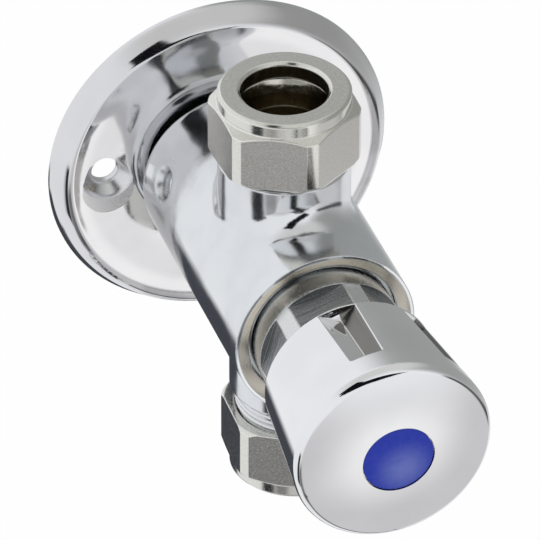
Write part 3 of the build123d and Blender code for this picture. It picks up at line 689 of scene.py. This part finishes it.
# A card shows only ahead of its own plane: the least depth that is divided by, and the depth at
# which it is full.
LEAST_AHEAD = 0.02
FULL_AHEAD = 0.1


def toward(azimuth, elevation):
    a, e = math.radians(azimuth), math.radians(elevation)
    return Vector((math.sin(a) * math.cos(e), -math.cos(a) * math.cos(e), math.sin(e)))


def band(value, width, edge):
    return step(tree, calc(tree, "ABSOLUTE", value), width / 2 + edge, max(width / 2 - edge, 0.0))


def hang_card(under, azimuth, elevation, width, height, fall, edge, shade):
    """Mixes a soft-edged card into the tent. Width, height and edge are slopes seen from the valve.

    Azimuth goes from the front to the right, and fall is how many degrees its right end hangs down.
    """
    middle = toward(azimuth, elevation)
    level = Vector((0, 0, 1)).cross(middle).normalized()
    spin = Matrix.Rotation(math.radians(-fall), 3, middle)
    rise = spin @ middle.cross(level)
    level = spin @ level
    ahead = calc_vector(tree, "DOT_PRODUCT", look, tuple(middle))
    clear = calc(tree, "MAXIMUM", ahead, LEAST_AHEAD)
    across = calc(tree, "DIVIDE", calc_vector(tree, "DOT_PRODUCT", look, tuple(level)), clear)
    upward = calc(tree, "DIVIDE", calc_vector(tree, "DOT_PRODUCT", look, tuple(rise)), clear)
    mask = calc(tree, "MULTIPLY", band(across, width, edge), band(upward, height, edge))
    mask = calc(tree, "MULTIPLY", mask, step(tree, ahead, 0.0, FULL_AHEAD))
    return tint(tree, mask, under, shade)


TENT_WHITE = (0.93, 0.94, 0.96)
# Azimuth, elevation, width, height, fall, edge and shade.
CARDS = (
    # Grey sides: the right, behind on the right, overhead, and the floor in front.
    (96, 22, 3.0, 2.2, 0, 1.0, (0.37, 0.375, 0.365)),
    (146, 5, 0.9, 1.5, 0, 0.42, (0.36, 0.37, 0.365)),
    (0, 88, 1.6, 1.6, 0, 0.5, (0.70, 0.705, 0.69)),
    (20, -50, 2.6, 1.3, 0, 0.3, (0.66, 0.655, 0.665)),
    # Bright spot on the button's face.
    (18, -34, 0.36, 0.36, 0, 0.28, (1.15, 1.15, 1.15)),
    # Black crescents at the upper left of the rim and the button, and their thick left ends.
    (-6, 25, 1.15, 0.34, 38, 0.02, (0.006, 0.006, 0.008)),
    (-36, 46, 0.5, 0.36, 38, 0.02, (0.006, 0.006, 0.008)),
    # Dark streaks low on the right and on the left.
    (66, -19, 1.2, 0.22, 26, 0.08, (0.09, 0.09, 0.09)),
    (-66, -36, 0.3, 0.5, 12, 0.04, (0.03, 0.032, 0.036)),
    (-42, -48, 0.3, 0.5, 0, 0.08, (0.2, 0.2, 0.21)),
    # Thin dark line at the lower left of the rim.
    (-8, -77.5, 1.0, 0.14, 50, 0.05, (0.10, 0.10, 0.11)),
    # Dark floor behind, for the patches on the barrel and the neck.
    (-174, -46, 0.95, 0.5, 0, 0.05, (0.06, 0.065, 0.078)),
)

tent = TENT_WHITE
for card in CARDS:
    tent = hang_card(tent, *card)

rays = tree.nodes.new("ShaderNodeLightPath")
background = tree.nodes.new("ShaderNodeBackground")
seen = tint(tree, rays.outputs["Is Camera Ray"], tent, (1.0, 1.0, 1.0))
plug(tree, background.inputs["Color"], seen)
world_output = tree.nodes.new("ShaderNodeOutputWorld")
tree.links.new(background.outputs[0], world_output.inputs["Surface"])


# Floor, well below the valve and white. The chrome reflects the tent, not the floor, and from
# below it can't be seen.

FLOOR_HEIGHT = -0.25
FLOOR_HALF = 4
FLOOR_GLOW = 0.97
FLOOR_SHADE = (0.9, 0.9, 0.9)

floor_mesh = bpy.data.meshes.new("studio_floor")
floor = bpy.data.objects.new("studio_floor", floor_mesh)
bpy.context.scene.collection.objects.link(floor)
sheet = bmesh.new()
bmesh.ops.create_grid(sheet, x_segments=1, y_segments=1, size=FLOOR_HALF)
bmesh.ops.translate(sheet, verts=sheet.verts, vec=(0, 0, FLOOR_HEIGHT))
sheet.to_mesh(floor_mesh)
sheet.free()
floor_white = bpy.data.materials.new("white_floor")
floor_white.use_nodes = True
tree = floor_white.node_tree
tree.nodes.clear()
rays = tree.nodes.new("ShaderNodeLightPath")
seen = calc(tree, "MAXIMUM", rays.outputs["Is Camera Ray"], rays.outputs["Is Glossy Ray"])
seen = calc(tree, "MAXIMUM", seen, rays.outputs["Is Transmission Ray"])
matt = tree.nodes.new("ShaderNodeBsdfDiffuse")
plug(tree, matt.inputs["Color"], FLOOR_SHADE)
glow = tree.nodes.new("ShaderNodeEmission")
lit = tree.nodes.new("ShaderNodeMixShader")
tree.links.new(calc(tree, "MULTIPLY", seen, FLOOR_GLOW), lit.inputs[0])
tree.links.new(matt.outputs[0], lit.inputs[1])
tree.links.new(glow.outputs[0], lit.inputs[2])
underside = tree.nodes.new("ShaderNodeBsdfTransparent")
two_sided = tree.nodes.new("ShaderNodeMixShader")
back = tree.nodes.new("ShaderNodeNewGeometry").outputs["Backfacing"]
tree.links.new(back, two_sided.inputs[0])
tree.links.new(lit.outputs[0], two_sided.inputs[1])
tree.links.new(underside.outputs[0], two_sided.inputs[2])
output = tree.nodes.new("ShaderNodeOutputMaterial")
tree.links.new(two_sided.outputs[0], output.inputs["Surface"])
floor_mesh.materials.append(floor_white)
floor.visible_glossy = False


LAMP_SIZE = 0.8


def soft_lamp(name, place, power):
    data = bpy.data.lights.new(name, "AREA")
    data.shape = "SQUARE"
    data.size = LAMP_SIZE
    data.energy = power
    lamp = bpy.data.objects.new(name, data)
    bpy.context.scene.collection.objects.link(lamp)
    lamp.location = place
    lamp.rotation_euler = (-Vector(place)).to_track_quat("-Z", "Y").to_euler()
    lamp.visible_glossy = False


soft_lamp("key_lamp", (-0.9, -0.8, 1.2), power=6)
soft_lamp("fill_lamp", (1.1, -0.6, 0.7), power=2)


# New pieces, in metres where nothing else is said.

def new_piece(name, shape, slot, body):
    """Makes a piece of a bmesh. It rides on a CAD body and takes a slot's finish."""
    mesh = bpy.data.meshes.new(name)
    shape.to_mesh(mesh)
    shape.free()
    mesh.materials.append(finishes[slot])
    piece = bpy.data.objects.new(name, mesh)
    bpy.context.scene.collection.objects.link(piece)
    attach(piece, body)
    return piece


STEPS_A_TURN = 64


def wind(shape, centre, axis, rise, turns):
    """Sweeps all of a bmesh round an axis as a helix that moves by rise in all."""
    steps = STEPS_A_TURN * turns
    bmesh.ops.spin(
        shape, geom=shape.verts[:] + shape.edges[:] + shape.faces[:], cent=centre, axis=axis,
        dvec=Vector(axis) * (rise / steps), angle=math.tau * turns, steps=steps)
    bmesh.ops.recalc_face_normals(shape, faces=shape.faces)


# Thread of the lower tail, bare between the body's neck and the nut.

TAIL_AXIS_Y = -0.0434
THREAD_ROOT = 0.0103
THREAD_CREST = 0.01072
THREAD_PITCH = 0.00106
THREAD_CREST_HALF = 0.08 * THREAD_PITCH
THREAD_TOP = -0.02165
THREAD_TURNS = 3

ridge = bmesh.new()
ridge_outline = (
    (THREAD_ROOT, THREAD_PITCH / 2), (THREAD_CREST, THREAD_CREST_HALF),
    (THREAD_CREST, -THREAD_CREST_HALF), (THREAD_ROOT, -THREAD_PITCH / 2))
ridge.faces.new([ridge.verts.new((r, TAIL_AXIS_Y, THREAD_TOP + z)) for r, z in ridge_outline])
wind(ridge, (0, TAIL_AXIS_Y, 0), (0, 0, 1), -THREAD_PITCH * THREAD_TURNS, THREAD_TURNS)
new_piece("lower_tail_thread", ridge, "chrome_body", "valve")


# Return spring between the cartridge's divider and the piston.

SPRING_REAR = -0.0491
SPRING_FRONT = -0.0660
SPRING_COIL_R = 0.00665
SPRING_WIRE_R = 0.0006
SPRING_WIRE_SIDES = 16
SPRING_END_GAP = 1.05 * SPRING_WIRE_R
SPRING_TURNS = 6

coil = bmesh.new()
wire = bmesh.ops.create_circle(
    coil, cap_ends=True, segments=SPRING_WIRE_SIDES, radius=SPRING_WIRE_R)["verts"]
bmesh.ops.translate(coil, verts=wire, vec=(SPRING_COIL_R, SPRING_REAR - SPRING_END_GAP, 0))
spring_length = SPRING_REAR - SPRING_FRONT
wind(coil, (0, 0, 0), (0, 1, 0), 2 * SPRING_END_GAP - spring_length, SPRING_TURNS)
for face in coil.faces:
    face.smooth = len(face.verts) == 4
spring = new_piece("sprung_return_coil", coil, "steel_screw", "valve")
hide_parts("return_spring")
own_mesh(spring)


# Liners of the four grip notches: each V groove runs out at the rear in a smooth round end under
# the skirt's edge. In millimetres.

NOTCH_LENGTH = 16.4
NOTCH_REAR_HALF = 3.9
NOTCH_FRONT_HALF = 3.2
NOTCH_WALL_RISE = math.tan(math.radians(30))
NOTCH_VALLEY_ROUND = 0.25
NOTCH_END_R = 2.3
NOTCH_END_RIM = 0.3
LINER_PROUD = 0.03
LINER_THICK = 0.1
LINER_COLUMNS = 48
LINER_ROWS = 96
LINER_CROWDING = 1.6


def liner_height(side, half, ahead):
    """Height of the groove's wall over the skirt, which is 0 or less."""
    if ahead <= NOTCH_END_RIM:
        return 0.0
    valley = -(half - math.hypot(side, NOTCH_VALLEY_ROUND)) * NOTCH_WALL_RISE
    into_end = max(0.0, NOTCH_END_R - (ahead - NOTCH_END_RIM))
    rounded_end = -math.sqrt(max(0.0, NOTCH_END_R ** 2 - into_end ** 2))
    return max(min(valley, 0.0), rounded_end)


def notch_liner(name, centre):
    liner = bmesh.new()
    bmesh.ops.create_grid(liner, x_segments=LINER_COLUMNS, y_segments=LINER_ROWS, size=1)
    s, c = math.sin(math.radians(centre)), math.cos(math.radians(centre))
    for vert in liner.verts:
        ahead = NOTCH_LENGTH * ((vert.co.y + 1) / 2) ** LINER_CROWDING
        half = NOTCH_REAR_HALF + (NOTCH_FRONT_HALF - NOTCH_REAR_HALF) * ahead / NOTCH_LENGTH
        side = vert.co.x * half
        widening = (BUTTON_R - BUTTON_REAR_R) / (BUTTON_EDGE - BUTTON_REAR)
        skirt = BUTTON_REAR_R + widening * ahead
        height = liner_height(side, half, ahead)
        out = math.sqrt(max(0.0, skirt ** 2 - side ** 2)) + height
        if height < 0:
            out += LINER_PROUD
        place = Vector((side * c + out * s, -(BUTTON_REAR + ahead), out * c - side * s))
        vert.co = place / MM_A_METRE
    bmesh.ops.recalc_face_normals(liner, faces=liner.faces)
    if sum(face.normal.dot((s, 0, c)) for face in liner.faces) < 0:
        bmesh.ops.reverse_faces(liner, faces=liner.faces)
    for face in liner.faces:
        face.smooth = True
    piece = new_piece(name, liner, "chrome_button", "button_set")
    wall = piece.modifiers.new("wall", "SOLIDIFY")
    wall.thickness = LINER_THICK / MM_A_METRE
    wall.offset = -1


for number, centre in enumerate(NOTCH_CENTRES, 1):
    notch_liner(f"notch_liner_{number}", centre)
